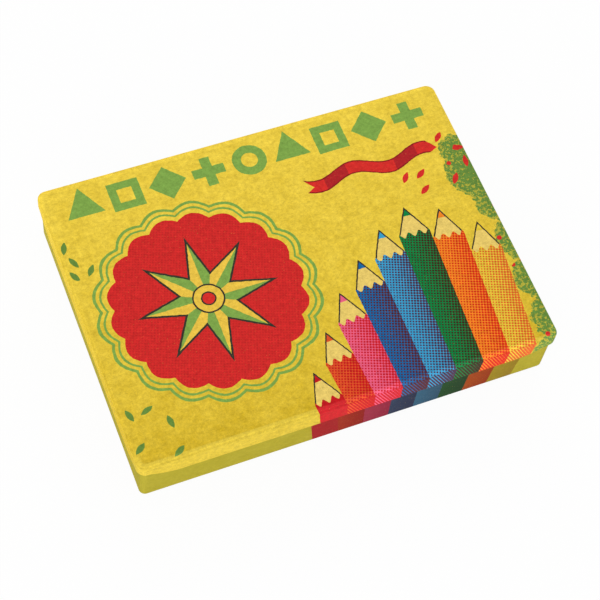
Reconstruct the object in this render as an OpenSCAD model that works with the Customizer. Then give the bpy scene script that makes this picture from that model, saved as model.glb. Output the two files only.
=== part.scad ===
// A hinged tinplate box for colored pencils: a pressed base and lid, two wire-pin
// hinges at the back, a formed tray and one layer of hexagonal pencils.
// X runs along the long side, -Y is the front, +Y the hinge side and +Z is up.
// The origin is the centre of the foot ring's plane.

/* [Lid] */
// Room that the lid's width gives beyond a pencil's length
end_room = 28; // [24:1:60]
// Depth of the lid, front to back
lid_d = 149; // [144:1:180]
// Height of the closed tin, from the table to the raised panel
tin_h = 31.2; // [29:0.2:40]
// Height of the lid's skirt
skirt_h = 10.7; // [9:0.1:13]
// Corner radius of the lid, seen from above
lid_corner_r = 4.4; // [4:0.1:8]
// Radius of the lid's top edge
lid_edge_r = 0.45; // [0.4:0.05:1]
// Width of the flat ledge around the raised panel
ledge_w = 0.35; // [0.3:0.05:1.2]
// Height of the raised panel over the ledge
panel_rise = 0.4; // [0.3:0.1:1]
// Width of the soft step between ledge and panel
panel_step = 1; // [0.8:0.1:1.2]
// Diameter of the hem rolled inwards along the skirt's lower edge
hem_d = 1.1; // [0.9:0.1:1.3]
// How far the hem rises to the corners
corner_rise = 4.5; // [2:0.1:5]
// Length of each side over which the hem rises, up to the corner's curve
corner_run = 16.5; // [12:0.5:18]
// Radius by which the risen hem eases into its level run round the corner
corner_ease = 5.5; // [3:0.5:8]

/* [Base] */
// Thickness of the tinplate
sheet = 0.3; // [0.24:0.02:0.36]
// Running gap between the lid's hem and the base's wall
skirt_gap = 0.3; // [0.2:0.05:0.5]
// Gap between the base's rim and the lid's ledge
lid_seat = 0.2; // [0.1:0.05:0.4]
// Diameter of the rim rolled inwards along the top of the base
rim_d = 1.3; // [1:0.1:1.5]
// Radius of the base's bottom edge
base_edge_r = 1.2; // [0.8:0.1:1.5]
// Width of the flat foot ring that the tin stands on
foot_w = 5; // [4:0.5:8]
// Height of the bottom panel over the table
foot_h = 0.8; // [0.5:0.1:1.2]
// Width of the soft step between foot ring and bottom panel
foot_step = 1.2; // [1:0.1:2]

/* [Hinge] */
// Diameter of the hinge pin
pin_d = 1; // [0.8:0.1:1.2]
// Radial running clearance of the lid's knuckles on the pin
pin_fit = 0.05; // [0.03:0.01:0.08]
// Radial gap between the pin and the tongue curled round it
crimp_fit = 0.02; // [0.01:0.01:0.03]
// Distance between the two hinges
hinge_spacing = 112; // [80:1:140]
// Length of each of the lid's knuckles
knuckle_l = 6; // [4:0.5:9]
// Length of the base's tongue along the pin
tongue_l = 9; // [6:0.5:14]
// Height of the tongue's leaf on the base's wall
leaf_h = 7; // [5:0.5:10]
// Side gap between neighbouring knuckles
knuckle_gap = 0.3; // [0.2:0.05:0.5]
// Angle at which the open lid's heels meet the base's wall
stop_angle = 118; // [115:1:130]
// How much further the heels reach than the wall lies from the hinge axis
heel_bite = 0.1; // [0.05:0.01:0.2]

/* [Tray] */
// Thickness of the tray's sheet
tray_t = 0.5; // [0.4:0.05:0.8]
// Gap between the tray and the base's rim
tray_gap = 0.3; // [0.2:0.05:0.6]
// Gap between the tray and the base's floor
tray_seat = 0.1; // [0.05:0.05:0.2]
// Corner radius of the tray
tray_r = 2.5; // [2:0.1:5]
// Width of the flange along the front and back of the tray
side_flange = 2; // [1.5:0.1:2.5]
// Depth of the flange below the tops of the pencils
flange_drop = 1.6; // [1:0.1:3]
// Width of the finger trough across the pencils
trough_w = 22; // [18:1:30]

/* [Pencils] */
// Number of pencils, one to a groove
pencil_count = 18; // [12:1:18]
// Length of a pencil
pencil_l = 175; // [120:1:200]
// Size of a pencil across its flats
pencil_af = 7; // [6.4:0.1:7.2]
// Diameter of the color core
lead_d = 3.3; // [2.8:0.1:3.8]
// Diameter of the sharpened core's tip
tip_d = 0.8; // [0.5:0.1:1.2]
// Half angle of the sharpened cone
cone_angle = 10; // [9:0.5:13]
// Glue gap between core and casing
glue_gap = 0.05; // [0.03:0.01:0.08]
// Wall left at the end of the sharpened wood
wood_edge = 0.15; // [0.1:0.05:0.3]
// Chamfer of the casing's flat end
tail_chamfer = 0.4; // [0.2:0.1:0.8]
// End play of a pencil in its groove, at each end
pencil_play = 1.5; // [1:0.1:3]
// Gap between a pencil and its groove
groove_fit = 0.1; // [0.05:0.05:0.2]
// Height left free over the pencils, below the base's rim
headroom = 3.7; // [3.4:0.1:6]

/* [Hidden] */
$fn = 48;
eps = 0.01;

// Name and paint of each pencil, from the front of the tin to the back
PENCILS = [
    ["crimson", "#A81F2D"], ["scarlet", "#D42A2A"], ["vermilion", "#E4572B"],
    ["orange", "#EE8B2D"], ["amber", "#F0B02F"], ["lemon", "#F3DC4E"],
    ["lime", "#A9C94A"], ["leaf_green", "#5E9E44"], ["emerald", "#1F8A56"],
    ["teal", "#1F8C8C"], ["sky_blue", "#4FA9D8"], ["cobalt", "#2C62B0"],
    ["navy", "#263A73"], ["violet", "#6A4495"], ["magenta", "#B93A7E"],
    ["pink", "#E98AA0"], ["brown", "#7A4A2B"], ["black", "#2B2A29"]
];
TIN_NODES = [
    "lid_shell", "base_shell", "pencil_tray",
    "left_hinge_tongue", "right_hinge_tongue", "left_hinge_pin", "right_hinge_pin"
];

// Width of the lid, along the pencils, and heights of the lid and the base
lid_w = pencil_l + end_room;
shoulder_z = tin_h - panel_rise;
skirt_z = shoulder_z - skirt_h;
base_h = shoulder_z - sheet - lid_seat;

// Rising hem: it bends up by rise_r and back to level by corner_ease
rise_angle = 2 * atan(corner_rise / corner_run);
rise_r = corner_run / sin(rise_angle) - corner_ease;
// Strip of the skirt that is bent with the hem, and where the rest of the skirt joins it
strip_h = 2;
join_h = strip_h / 2;

// Outline of the base, inside the skirt by the hem and its running gap
overhang = hem_d + skirt_gap;
base_w = lid_w - 2 * overhang;
base_d = lid_d - 2 * overhang;
base_r = lid_corner_r - overhang;

// Hinge: the axis is level with the hem's centre and clears the wall by a knuckle
pin_r = pin_d / 2;
bore_r = pin_r + pin_fit;
crimp_r = pin_r + crimp_fit;
knuckle_r = bore_r + sheet;
wall_reach = skirt_gap + knuckle_r;
axis_y = base_d / 2 + wall_reach;
axis_z = skirt_z + hem_d / 2;
hinge_l = tongue_l + 2 * (knuckle_gap + knuckle_l);

// Stop heel: its leading corner touches the wall when the lid stands at stop_angle
heel_reach = wall_reach + heel_bite;
heel_half = atan(sheet / 2 / heel_reach);
heel_angle = stop_angle - asin(wall_reach * cos(heel_half) / heel_reach) + heel_half;

// Tray and pencils
tray_w = base_w - 2 * (rim_d + tray_gap);
tray_d = base_d - 2 * (rim_d + tray_gap);
bay_w = pencil_l + 2 * pencil_play;
bay_d = tray_d - 2 * side_flange;
pitch = bay_d / pencil_count;
groove_slope = 30;
groove_rise = pitch / 2 * tan(groove_slope);
groove_t = tray_t / cos(groove_slope);
pencil_r = pencil_af / 2 / cos(30);
pencil_z = base_h - headroom - pencil_r;
groove_z = pencil_z - pencil_r - groove_fit;
flange_z = pencil_z + pencil_r - flange_drop;
skirt_foot_z = sheet + tray_seat;
trough_z = foot_h + sheet + tray_seat;

// Sharpened end of a pencil: where the full width, the wood and the core begin to taper
function cone_start(r) = pencil_l - (r - tip_d / 2) / tan(cone_angle);
wood_r = lead_d / 2 + glue_gap + wood_edge;

// Flat shape of a rounded rectangle
module rounded(w, d, r) {
    square([w - 2 * r, d], center = true);
    square([w, d - 2 * r], center = true);
    for (x = [-1, 1], y = [-1, 1])
        translate([x * (w / 2 - r), y * (d / 2 - r)]) circle(r);
}

// Sheet of one thickness lying flat, its underside at z = 0
module plate(w, d, r, t = sheet) {
    linear_extrude(t) rounded(w, d, r);
}

// The same sheet with a rounded hole
module frame_plate(w, d, r, hole_w, hole_d, hole_r, t = sheet) {
    linear_extrude(t) difference() {
        rounded(w, d, r);
        rounded(hole_w, hole_d, hole_r);
    }
}

// Sweeps a profile round a rectangle's four corners; its x = 0 is the centre of the curve
module round_corners(w, d, r) {
    for (q = [0:3]) {
        sx = q == 0 || q == 3 ? 1 : -1;
        sy = q < 2 ? 1 : -1;
        translate([sx * (w / 2 - r), sy * (d / 2 - r), 0])
            rotate([0, 0, 90 * q]) rotate_extrude(angle = 90) children();
    }
}

// Sweeps the same profile along the four sides, each shorter than the rectangle's by twice end
module along_sides(w, d, r, end) {
    for (q = [0:3]) {
        side = q % 2 == 0;
        rotate([0, 0, 90 * q])
            translate([(side ? w : d) / 2 - r, 0, 0])
            rotate([90, 0, 0])
            linear_extrude((side ? d : w) - 2 * end, center = true) children();
    }
}

// Sweeps it all the way round
module around(w, d, r) {
    round_corners(w, d, r) children();
    along_sides(w, d, r, r) children();
}

// Sheet edge bent to a quarter circle of outer radius edge_r, from level to vertical
module bend(edge_r) {
    intersection() {
        difference() {
            circle(edge_r);
            circle(edge_r - sheet);
        }
        square(edge_r);
    }
}

// Sheet rolled to a small tube
module roll(d) {
    difference() {
        circle(d / 2);
        circle(d / 2 - sheet);
    }
}

// Panel pressed up by a soft step inside the outline w x d
module raised_panel(w, d, r, step, rise) {
    steps = 8;
    function level(i) = rise * (1 - cos(180 * i / steps)) / 2;
    upper = [for (i = [0:steps]) [r - step * i / steps, level(i) + sheet]];
    lower = [for (i = [steps:-1:0]) [r - step * i / steps, level(i)]];
    around(w, d, r) polygon(concat(upper, lower));
    translate([0, 0, rise]) plate(w - 2 * step + eps, d - 2 * step + eps, r - step + eps / 2);
}

// Section of the hem with its strip of the skirt: x = 0 is the outer face, y = 0 the hem's centre
module hem_section() {
    translate([-hem_d / 2, 0]) roll(hem_d);
    translate([-sheet, 0]) square([sheet, strip_h]);
}

// Places a shape at each half side of the lid: x along the skirt from where the hem starts
// to rise, y up from the hem's level run, z outwards from the skirt's outer face
module at_half_sides() {
    for (q = [0:3]) {
        side = q % 2 == 0;
        across = (side ? lid_w : lid_d) / 2;
        along = (side ? lid_d : lid_w) / 2 - lid_corner_r;
        rotate([0, 0, 90 * q])
            for (s = [0, 1])
                translate([across, 0, axis_z])
                    rotate([90, 0, 90])
                    mirror([s, 0, 0])
                    translate([along - corner_run, 0, 0])
                    children();
    }
}

// Hem all round: level along the sides, rising to the corners and level round them
module hem() {
    along_sides(lid_w, lid_d, 0, lid_corner_r + corner_run)
        translate([0, axis_z]) hem_section();
    at_half_sides() {
        translate([0, rise_r, 0])
            rotate([0, 0, -90]) rotate_extrude(angle = rise_angle)
            translate([rise_r, 0]) rotate([0, 0, 90]) hem_section();
        translate([corner_run, corner_rise - corner_ease, 0])
            rotate([0, 0, 90]) rotate_extrude(angle = rise_angle)
            translate([corner_ease, 0]) mirror([1, -1]) hem_section();
    }
    round_corners(lid_w, lid_d, lid_corner_r)
        translate([lid_corner_r, axis_z + corner_rise]) hem_section();
}

// What lies below the line where the skirt joins the hem's strip
module below_join() {
    depth = lid_corner_r;
    up_r = rise_r - join_h;
    down_r = corner_ease + join_h;
    turn_x = up_r * sin(rise_angle);
    turn_y = rise_r - up_r * cos(rise_angle);
    along_sides(lid_w, lid_d, depth, lid_corner_r + corner_run - eps)
        translate([0, axis_z - 1]) square([depth + 1, join_h + 1]);
    at_half_sides() translate([0, 0, -depth]) linear_extrude(depth + 1) {
        difference() {
            translate([0, -1]) square([turn_x, turn_y + 1]);
            translate([0, rise_r]) circle(up_r, $fn = 180);
        }
        translate([turn_x - eps, -1]) square([corner_run - turn_x + 2 * eps, turn_y + 1]);
        intersection() {
            translate([corner_run, corner_rise - corner_ease]) circle(down_r, $fn = 180);
            translate([turn_x, turn_y - eps]) square([corner_run - turn_x + eps, down_r]);
        }
    }
    top = corner_rise + join_h;
    for (x = [-1, 1], y = [-1, 1])
        translate([x * lid_w / 2, y * lid_d / 2, axis_z + top / 2 - 0.5])
            cube([2 * depth, 2 * depth, top + 1], center = true);
}

// Lid: skirt with its hem, rounded top edge, ledge and raised panel
module lid_blank() {
    ledge_r = lid_corner_r - lid_edge_r;
    panel_w = lid_w - 2 * (lid_edge_r + ledge_w);
    panel_d = lid_d - 2 * (lid_edge_r + ledge_w);
    panel_r = ledge_r - ledge_w;
    difference() {
        around(lid_w, lid_d, lid_corner_r) {
            translate([lid_corner_r - sheet, axis_z])
                square([sheet, shoulder_z - lid_edge_r - axis_z]);
            translate([ledge_r, shoulder_z - lid_edge_r]) bend(lid_edge_r);
        }
        below_join();
    }
    hem();
    translate([0, 0, shoulder_z - sheet]) {
        frame_plate(lid_w - 2 * lid_edge_r, lid_d - 2 * lid_edge_r, ledge_r,
            panel_w - eps, panel_d - eps, panel_r - eps / 2);
        raised_panel(panel_w, panel_d, panel_r, panel_step, panel_rise);
    }
}

module on_hinge_axis(x) {
    translate([x, axis_y, axis_z]) rotate([0, 90, 0]) children();
}

module hinge_places() {
    for (s = [-1, 1]) translate([s * hinge_spacing / 2, 0, 0]) children();
}

// Window cut in the skirt for one hinge: low over the knuckles, higher over the tongue
module hinge_window() {
    skirt_reach = hem_d + 1;
    low_top = axis_z + (bore_r + knuckle_r) / 2;
    high_top = axis_z + knuckle_r + knuckle_gap;
    low_l = hinge_l + 2 * knuckle_gap;
    high_l = tongue_l + 2 * knuckle_gap;
    inner_y = base_d / 2 + skirt_gap / 2;
    translate([-low_l / 2, inner_y, skirt_z - 1])
        cube([low_l, skirt_reach, low_top - skirt_z + 1]);
    translate([-high_l / 2, inner_y, skirt_z - 1])
        cube([high_l, skirt_reach, high_top - skirt_z + 1]);
}

// The lid's two knuckles at one hinge, each with the heel that stops the open lid
module lid_knuckles() {
    mid = (tongue_l + knuckle_l) / 2 + knuckle_gap;
    for (s = [-1, 1]) {
        on_hinge_axis(s * mid) cylinder(h = knuckle_l, r = knuckle_r, center = true);
        translate([s * mid, axis_y, axis_z])
            rotate([heel_angle, 0, 0])
            translate([-knuckle_l / 2, -sheet / 2, -heel_reach])
            cube([knuckle_l, sheet, heel_reach]);
    }
}

module lid_shell() {
    color("#E8CC46") difference() {
        union() {
            difference() {
                lid_blank();
                hinge_places() hinge_window();
            }
            hinge_places() lid_knuckles();
        }
        hinge_places() on_hinge_axis(0) cylinder(h = hinge_l + 1, r = bore_r, center = true);
    }
}

// Base: walls with their rolled rim, rounded bottom edge, foot ring and raised bottom
module base_shell() {
    floor_r = base_r - base_edge_r;
    panel_w = base_w - 2 * foot_w;
    panel_d = base_d - 2 * foot_w;
    panel_r = foot_step + 1;
    color("#BFAE2E") {
        around(base_w, base_d, base_r) {
            translate([base_r - sheet, base_edge_r])
                square([sheet, base_h - rim_d / 2 - base_edge_r]);
            translate([base_r - rim_d / 2, base_h - rim_d / 2]) roll(rim_d);
            translate([floor_r, base_edge_r]) mirror([0, 1]) bend(base_edge_r);
        }
        frame_plate(base_w - 2 * base_edge_r, base_d - 2 * base_edge_r, floor_r,
            panel_w - eps, panel_d - eps, panel_r - eps / 2);
        raised_panel(panel_w, panel_d, panel_r, foot_step, foot_h);
    }
}

// Tongue of one hinge: a leaf on the base's wall, jogged out and curled round the pin
module hinge_tongue(x) {
    wall_y = base_d / 2;
    leaf_top = axis_z - 2 * knuckle_r;
    join = (crimp_r + knuckle_r) / 2;
    color("#C9C7C0")
        translate([x - tongue_l / 2, wall_y, 0])
        rotate([90, 0, 90])
        linear_extrude(tongue_l)
        difference() {
            union() {
                translate([0, axis_z - leaf_h]) square([sheet, leaf_top - axis_z + leaf_h]);
                polygon([
                    [0, leaf_top - sheet], [sheet, leaf_top - sheet],
                    [wall_reach, axis_z - join - sheet / 4], [wall_reach - join, axis_z],
                    [wall_reach - join - sheet / 4, axis_z - sheet], [0, leaf_top]
                ]);
                translate([wall_reach, axis_z]) circle(knuckle_r);
            }
            translate([wall_reach, axis_z]) circle(crimp_r);
        }
}

module hinge_pin(x) {
    chamfer = pin_r / 4;
    color("#B4B7BA")
        on_hinge_axis(x)
        rotate_extrude()
        polygon([
            [0, -hinge_l / 2], [pin_r - chamfer, -hinge_l / 2], [pin_r, chamfer - hinge_l / 2],
            [pin_r, hinge_l / 2 - chamfer], [pin_r - chamfer, hinge_l / 2], [0, hinge_l / 2]
        ]);
}

// Zigzag of the grooves, seen along the pencils, as a line of points at height z over each valley
function groove_line(z) = [
    for (i = [0:2 * pencil_count])
        [bay_d / 2 - i * pitch / 2, z + (i % 2 == 0 ? groove_rise : 0)]
];
function reversed(list) = [for (i = [len(list) - 1:-1:0]) list[i]];

// Turns a shape drawn across the pencils so that it runs along X from x0 for length l
module along_pencils(x0, l) {
    translate([x0, 0, 0]) rotate([90, 0, 90]) linear_extrude(l) children();
}

// Tray: outer skirt, flange, walls of the pencil bay, grooves and the finger trough
module pencil_tray() {
    inner_r = tray_r - tray_t;
    half_bay = bay_w / 2;
    half_trough = trough_w / 2;
    trough_end = half_trough + tray_t;
    valley_z = groove_z - groove_t;
    color("#2F2F31") {
        translate([0, 0, skirt_foot_z])
            frame_plate(tray_w, tray_d, tray_r, tray_w - 2 * tray_t, tray_d - 2 * tray_t,
                inner_r, flange_z - skirt_foot_z);
        translate([0, 0, flange_z - tray_t]) linear_extrude(tray_t) difference() {
            rounded(tray_w, tray_d, tray_r);
            square([bay_w, bay_d], center = true);
        }
        translate([0, 0, valley_z]) linear_extrude(flange_z - valley_z) difference() {
            square([bay_w + 2 * tray_t, bay_d + 2 * tray_t], center = true);
            square([bay_w, bay_d], center = true);
        }
        for (x0 = [-half_bay - tray_t, half_trough])
            along_pencils(x0, half_bay - half_trough + tray_t)
                polygon(concat(groove_line(groove_z), reversed(groove_line(valley_z))));
        for (x0 = [-trough_end, half_trough])
            along_pencils(x0, tray_t)
                polygon(concat(groove_line(groove_z),
                    [[-bay_d / 2, trough_z], [bay_d / 2, trough_z]]));
        translate([-trough_end, -bay_d / 2 - tray_t, trough_z])
            cube([2 * trough_end, bay_d + 2 * tray_t, tray_t]);
        for (y0 = [-bay_d / 2 - tray_t, bay_d / 2])
            translate([-trough_end, y0, trough_z])
                cube([2 * trough_end, tray_t, flange_z - trough_z]);
    }
}

// Lays a turned shape drawn along Z in groove i, its tip towards +X
module in_groove(i) {
    translate([-pencil_l / 2, (i + 0.5) * pitch - bay_d / 2, pencil_z])
        rotate([0, 90, 0]) children();
}

// Wood casing: a hexagonal prism, sharpened to a cone and bored for its core
module pencil_casing(i) {
    wood_end = cone_start(wood_r);
    color(PENCILS[i][1])
        in_groove(i)
        difference() {
            intersection() {
                cylinder(h = wood_end, r = pencil_r, $fn = 6);
                rotate_extrude() polygon([
                    [0, 0], [pencil_r - tail_chamfer, 0], [pencil_r + eps, tail_chamfer],
                    [pencil_r + eps, cone_start(pencil_r + eps)], [wood_r, wood_end], [0, wood_end]
                ]);
            }
            translate([0, 0, -1]) cylinder(h = pencil_l, r = lead_d / 2 + glue_gap);
        }
}

module pencil_lead(i) {
    lead_r = lead_d / 2;
    color(PENCILS[i][1])
        in_groove(i)
        rotate_extrude() polygon([
            [0, 0], [lead_r, 0], [lead_r, cone_start(lead_r)], [tip_d / 2, pencil_l], [0, pencil_l]
        ]);
}

lid_shell();
base_shell();
pencil_tray();
hinge_tongue(-hinge_spacing / 2);  // left_hinge_tongue
hinge_tongue(hinge_spacing / 2);  // right_hinge_tongue
hinge_pin(-hinge_spacing / 2);  // left_hinge_pin
hinge_pin(hinge_spacing / 2);  // right_hinge_pin
for (i = [0:pencil_count - 1]) {
    pencil_casing(i);
    pencil_lead(i);
}
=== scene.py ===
"""A closed tinplate box of colored pencils: a printed lid and base, wire-pinned hinges,
a formed tray and eighteen lacquered pencils.

All patterns are laid out in millimetres, and a noise or cell of scale 1 / n is about
n millimetres wide. Long grain has three such sizes, one for each axis."""

import math

import bpy
from mathutils import Matrix, Vector


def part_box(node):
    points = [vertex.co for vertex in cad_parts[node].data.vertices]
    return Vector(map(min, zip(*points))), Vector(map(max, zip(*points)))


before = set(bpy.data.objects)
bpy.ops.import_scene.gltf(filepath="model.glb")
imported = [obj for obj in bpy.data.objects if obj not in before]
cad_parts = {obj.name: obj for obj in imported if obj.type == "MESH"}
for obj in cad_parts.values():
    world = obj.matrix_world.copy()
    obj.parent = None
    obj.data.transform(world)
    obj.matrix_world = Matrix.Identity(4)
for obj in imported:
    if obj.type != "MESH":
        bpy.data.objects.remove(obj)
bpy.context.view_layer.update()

MM = 1000  # millimetres in a metre
NOISE = (0.3, 0.7)  # nearly all values of a noise lie between these


def millimetre_box(node_name):
    """The lowest and the highest corner of a solid, in millimetres."""
    low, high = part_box(node_name)
    return low * MM, high * MM


# Sizes of the tin in millimetres, read from the solids or as they have them
LID_LOW, LID_HIGH = millimetre_box("lid_shell")
SHEET, LID_SEAT, HAIR = 0.3, 0.2, 0.06  # a hair tells a face from what lies behind it
LID_CORNER, BASE_CORNER = 4.4, 3.0
PANEL_HALF = (LID_HIGH.x - LID_CORNER, -LID_LOW.y - LID_CORNER, 0)  # straight walls, lid and base
LID_EDGE, LEDGE, PANEL_STEP, PANEL_RISE = 0.45, 0.35, 1.0, 0.4
SKIRT_HEIGHT, HEM, RIM, BASE_EDGE = 10.7, 1.1, 1.3, 1.2
SHOULDER_Z = LID_HIGH.z - PANEL_RISE
SKIRT_Z = SHOULDER_Z - SKIRT_HEIGHT
RIM_Z = SHOULDER_Z - SHEET - LID_SEAT - RIM
# The hem rises to the corners: a bend upwards, and one back to level
HEM_Z = SKIRT_Z + HEM / 2 - 0.1  # a little under the middle of its roll
HEM_RUN, HEM_RISE, HEM_ROOM = 16.5, 4.5, 6
HEM_BEND, HEM_EASE, EASE_RUN = 26, 5.5, 2.8  # radii of the two as parabolas, and length of the second
# The two spot welds of a hinge's leaf
TONGUE_LOW, TONGUE_HIGH = millimetre_box("right_hinge_tongue")
HINGE_X = (TONGUE_LOW.x + TONGUE_HIGH.x) / 2
WELD_X, WELD_Z, WELD_R = 2.4, TONGUE_LOW.z + 2.55, 1.0
# Pencils
PENCIL_FLAT = 3.5  # from the axis to each of its six flats
FOIL_RINGS = ((9, 0.9), (12, 0.35))  # from the tail, and half width

# Lacquer of the pencils, from the front of the tray to the back
PENCILS = {
    "crimson": "#A81F2D",
    "scarlet": "#D42A2A",
    "vermilion": "#E4572B",
    "orange": "#EE8B2D",
    "amber": "#F0B02F",
    "lemon": "#F3DC4E",
    "lime": "#A9C94A",
    "leaf_green": "#5E9E44",
    "emerald": "#1F8A56",
    "teal": "#1F8C8C",
    "sky_blue": "#4FA9D8",
    "cobalt": "#2C62B0",
    "navy": "#263A73",
    "violet": "#6A4495",
    "magenta": "#B93A7E",
    "pink": "#E98AA0",
    "brown": "#7A4A2B",
    "black": "#2B2A29",
}

# Litho inks of the lid, and the duller ones of the base
# the third yellow is the paler ground of a painted sheen along the front edge
THICK_YELLOW, THIN_YELLOW, SHEEN_YELLOW, PALE_SPECK = "#C8A616", "#FDDD4F", "#D0BB40", "#DDC25A"
RED, DEEP_RED, EDGE_RED = "#DA302B", "#B4262A", "#8E1B22"
DISC_RED, DISC_DOT = "#D82D2B", "#B92427"
LEAF, GRASS, SUNLIT = "#82AA4D", "#6A8F3F", "#B9B340"
GOLD, CREAM, CHARCOAL, WHITE = "#F0C84A", "#EFD06E", "#3A362E", "#FFFFFF"
BAR_INKS = ["#C81B22", "#E35729", "#EE6385", "#1667A5", "#3CA1D0", "#0A8443", "#F88A26", "#EACA3E"]
DOT_INKS = ["#C81B22", "#CB1A1E", "#D0202B", "#55262F", "#4A304A", "#3D2D1B", "#DA3018", "#E0652A"]
THICK_OLIVE, THIN_OLIVE = "#A4992B", "#C3B544"
BASE_BAR_INKS = ["#A12A2B", "#AC4226", "#A94353", "#3C4C63", "#416F88", "#2C5730", "#AF5722", "#A39428"]
HATCH_INKS = ["#9E282A", "#8C2721", "#8D2A3F", "#313449", "#365267", "#273F26", "#923B1E", "#927827"]

# Screens of the print, coarse as on cheap litho work: pitch in millimetres, and turn
DOT_PITCH, DOT_TURN = 1.35, math.radians(20)
SKIRT_PITCH, SKIRT_TURN = 1.3, math.radians(-28)
HATCH_PITCH, HATCH_TURN = 0.9, math.radians(-52)
SKIRT_LINE = -0.6  # the dots become lines there, outside (+) or inside (-) the line of the walls
LEAST_DOT, LARGEST_DOT = 0.27, 0.5  # radii, as shares of the pitch

# Layout of the print, in millimetres from the middle of the lid
BASE_SHIFT = (3.5, 1.3, 0)  # the base's sheet is printed a little out of step with the lid's
BASE_PRINT_Z = SKIRT_Z - 0.3  # the base's bars end just under the lid's skirt
GROUND_FRONT, GROUND_BACK = -74, 80  # where the painted light on the ground is least and most
PAINTED_LIGHT_AT_FRONT, PAINTED_LIGHT_TO_BACK = 0.26, 0.53
FAN_CENTRE, FAN_START, FAN_STEP = (36, -520, 0), math.radians(-6.85), math.radians(1.7125)
POINT_REACH = (468, 484, 500, 513, 525, 533, 528, 517)  # of each bar, from FAN_CENTRE
REACH_LOW, REACH_SPAN = 460, 80  # the ramp's 0, and how much its 1 stands for
SHARPENED, COLOURED_POINT, CUT_DEPTH, CUT_WAVES = 15, 5, 1.3, 3
BAR_OUTLINE = 0.05  # as a share of a bar's width
MEDAL_CENTRE, MEDAL_R, SCALLOP, SCALLOPS = (-44, -4, 0), 43, 3, 9
MEDAL_RINGS = ((3.0, 0.55), (5.9, 0.75))  # distance from the disc, and half width
DISC_DOTS, DISC_DOTS_SHOW = (0.2, 0.4), 0.55  # radii over which they fade, and how plain they are
STAR_R, STAR_WAIST, STAR_POINTS, STAR_OUTLINE = 30, 12.5, 8, 1.0
STAR_EYE = ((7.6, CHARCOAL), (6.8, GOLD), (3.6, CHARCOAL), (2.9, RED))  # radii and inks
FRIEZE_Y, FRIEZE_STEP, FRIEZE_COUNT, SHAPE_R = 60.5, 20.6, 9, 8.4
RING_R, RING_HALF = 0.74 * SHAPE_R, 0.26 * SHAPE_R
FRAME_R, FRAME_HALF = 0.68 * SHAPE_R, 0.24 * SHAPE_R
TRIANGLE_R, DIAMOND_R = 0.62 * SHAPE_R, 1.1 * SHAPE_R
CROSS_R, CROSS_HALF = 0.95 * SHAPE_R, 0.3 * SHAPE_R
STREAMER_Y, STREAMER_START, STREAMER_END, NOTCH = 38.5, 24, 89, 1.2
STREAMER_HALF, STREAMER_EDGE, WAVE_LENGTH, WAVE_HEIGHT = 2.9, 0.7, 36, 2.6
TURNED_AWAY = 0.45  # the slope from which the streamer is darker, as a share of the steepest
LEAF_W, LEAF_L, LEAF_GAP, LEAF_STRAY = 1.35, 3.4, 8.2, 0.55  # half sizes, spacing, unevenness
LEAF_TURNS = 40  # radians over all chances, so that each leaf is turned its own way
FALLEN = [  # ink, middle, spread, and how many of the places hold a leaf
    (RED, (84, 30, 0), 17, 0.5),
    (GRASS, (-94, 36, 0), 11, 0.6),
    (GRASS, (-88, -58, 0), 16, 0.45),
]
BUSHES = [  # middle and radius
    (103, 21, 17),
    (97, 35, 9),
    (106, 2, 13),
    (108, -20, 14),
    (106, -42, 13),
    (107, -64, 15),
    (100, -82, 12),
]
BUSH_RAGGED, BUSH_EDGE, BUSH_HEART = 7, 3, -12
GAPS_IN_HEART, GAPS_AT_EDGE = 0.66, 0.5  # the noise from which light shows
BERRY_GAP, BERRY_R, RIPE = 6, 1.2, 0.25

# Unevenness of the ink
LID_CLOUDS, BASE_CLOUDS = 1.4, 1.1  # how much of a cloud's strength goes into the ground
LID_GRAIN, BASE_GRAIN = 0.33, 0.16  # how much darker and brighter the grain makes the ink
PINHOLE, PINHOLE_SHOWS = 0.72, 0.3  # the noise from which there is one, and how plain it is
WAVER = 0.6  # of the print's edges, in millimetres over all of a noise

# Painted light and shade on the lid's ink, in millimetres outside (+) or inside (-) the line of the walls
FRONT_EDGE = (-62, -72)  # where the front edge's painted highlight and sheen set in, and where they are full
LONG_EDGES = (62, 72)  # the same for the front and the back alike
SHEEN_BAND = (-3.2, -2.6)
BORDER_LINE, BORDER_BAND = -1.5, (1, 1.7)
CREASE_SHADE_LINE, CREASE_SHADE_WIDTH = -3.2, 1.7
# and how bright the painted highlight, sheen and shade make the ink there
SIDES_LIT, LONG_EDGES_LIT, FRONT_LIT, CREASE_SHADE = 0.98, 1.06, 0.12, 0.955
SHEEN_SHOWS, SHEEN_HAZE = 0.5, 0.013

# Light and camera, in metres and watts
FLOOR_SIZE, FLOOR_GLOW, ROOM_LIGHT = 6, 0.95, 0.625
LIT_PLACE = (0, 0, 0.02)
SOFTBOXES = {  # place, width, height, power
    "back_softbox": ((0.75, 2.0, 1.0), 2.2, 1.5, 21),
    "front_softbox": ((-1.25, -1.93, 0.85), 3.2, 1.6, 41),
}
CAMERA_PLACE = (-0.192338, -0.344227, 0.707239)
CAMERA_AHEAD, CAMERA_UP = (0.242298, 0.421333, -0.873940), (0.283593, 0.830683, 0.479104)
SENSOR_WIDTH, LENS = 36, 101.66  # millimetres


def linear(hex_colour):
    """One sRGB hex value as the linear colour that a socket takes."""
    parts = [int(hex_colour[i : i + 2], 16) / 255 for i in (1, 3, 5)]
    return tuple(c / 12.92 if c <= 0.04045 else ((c + 0.055) / 1.055) ** 2.4 for c in parts) + (1,)


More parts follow.
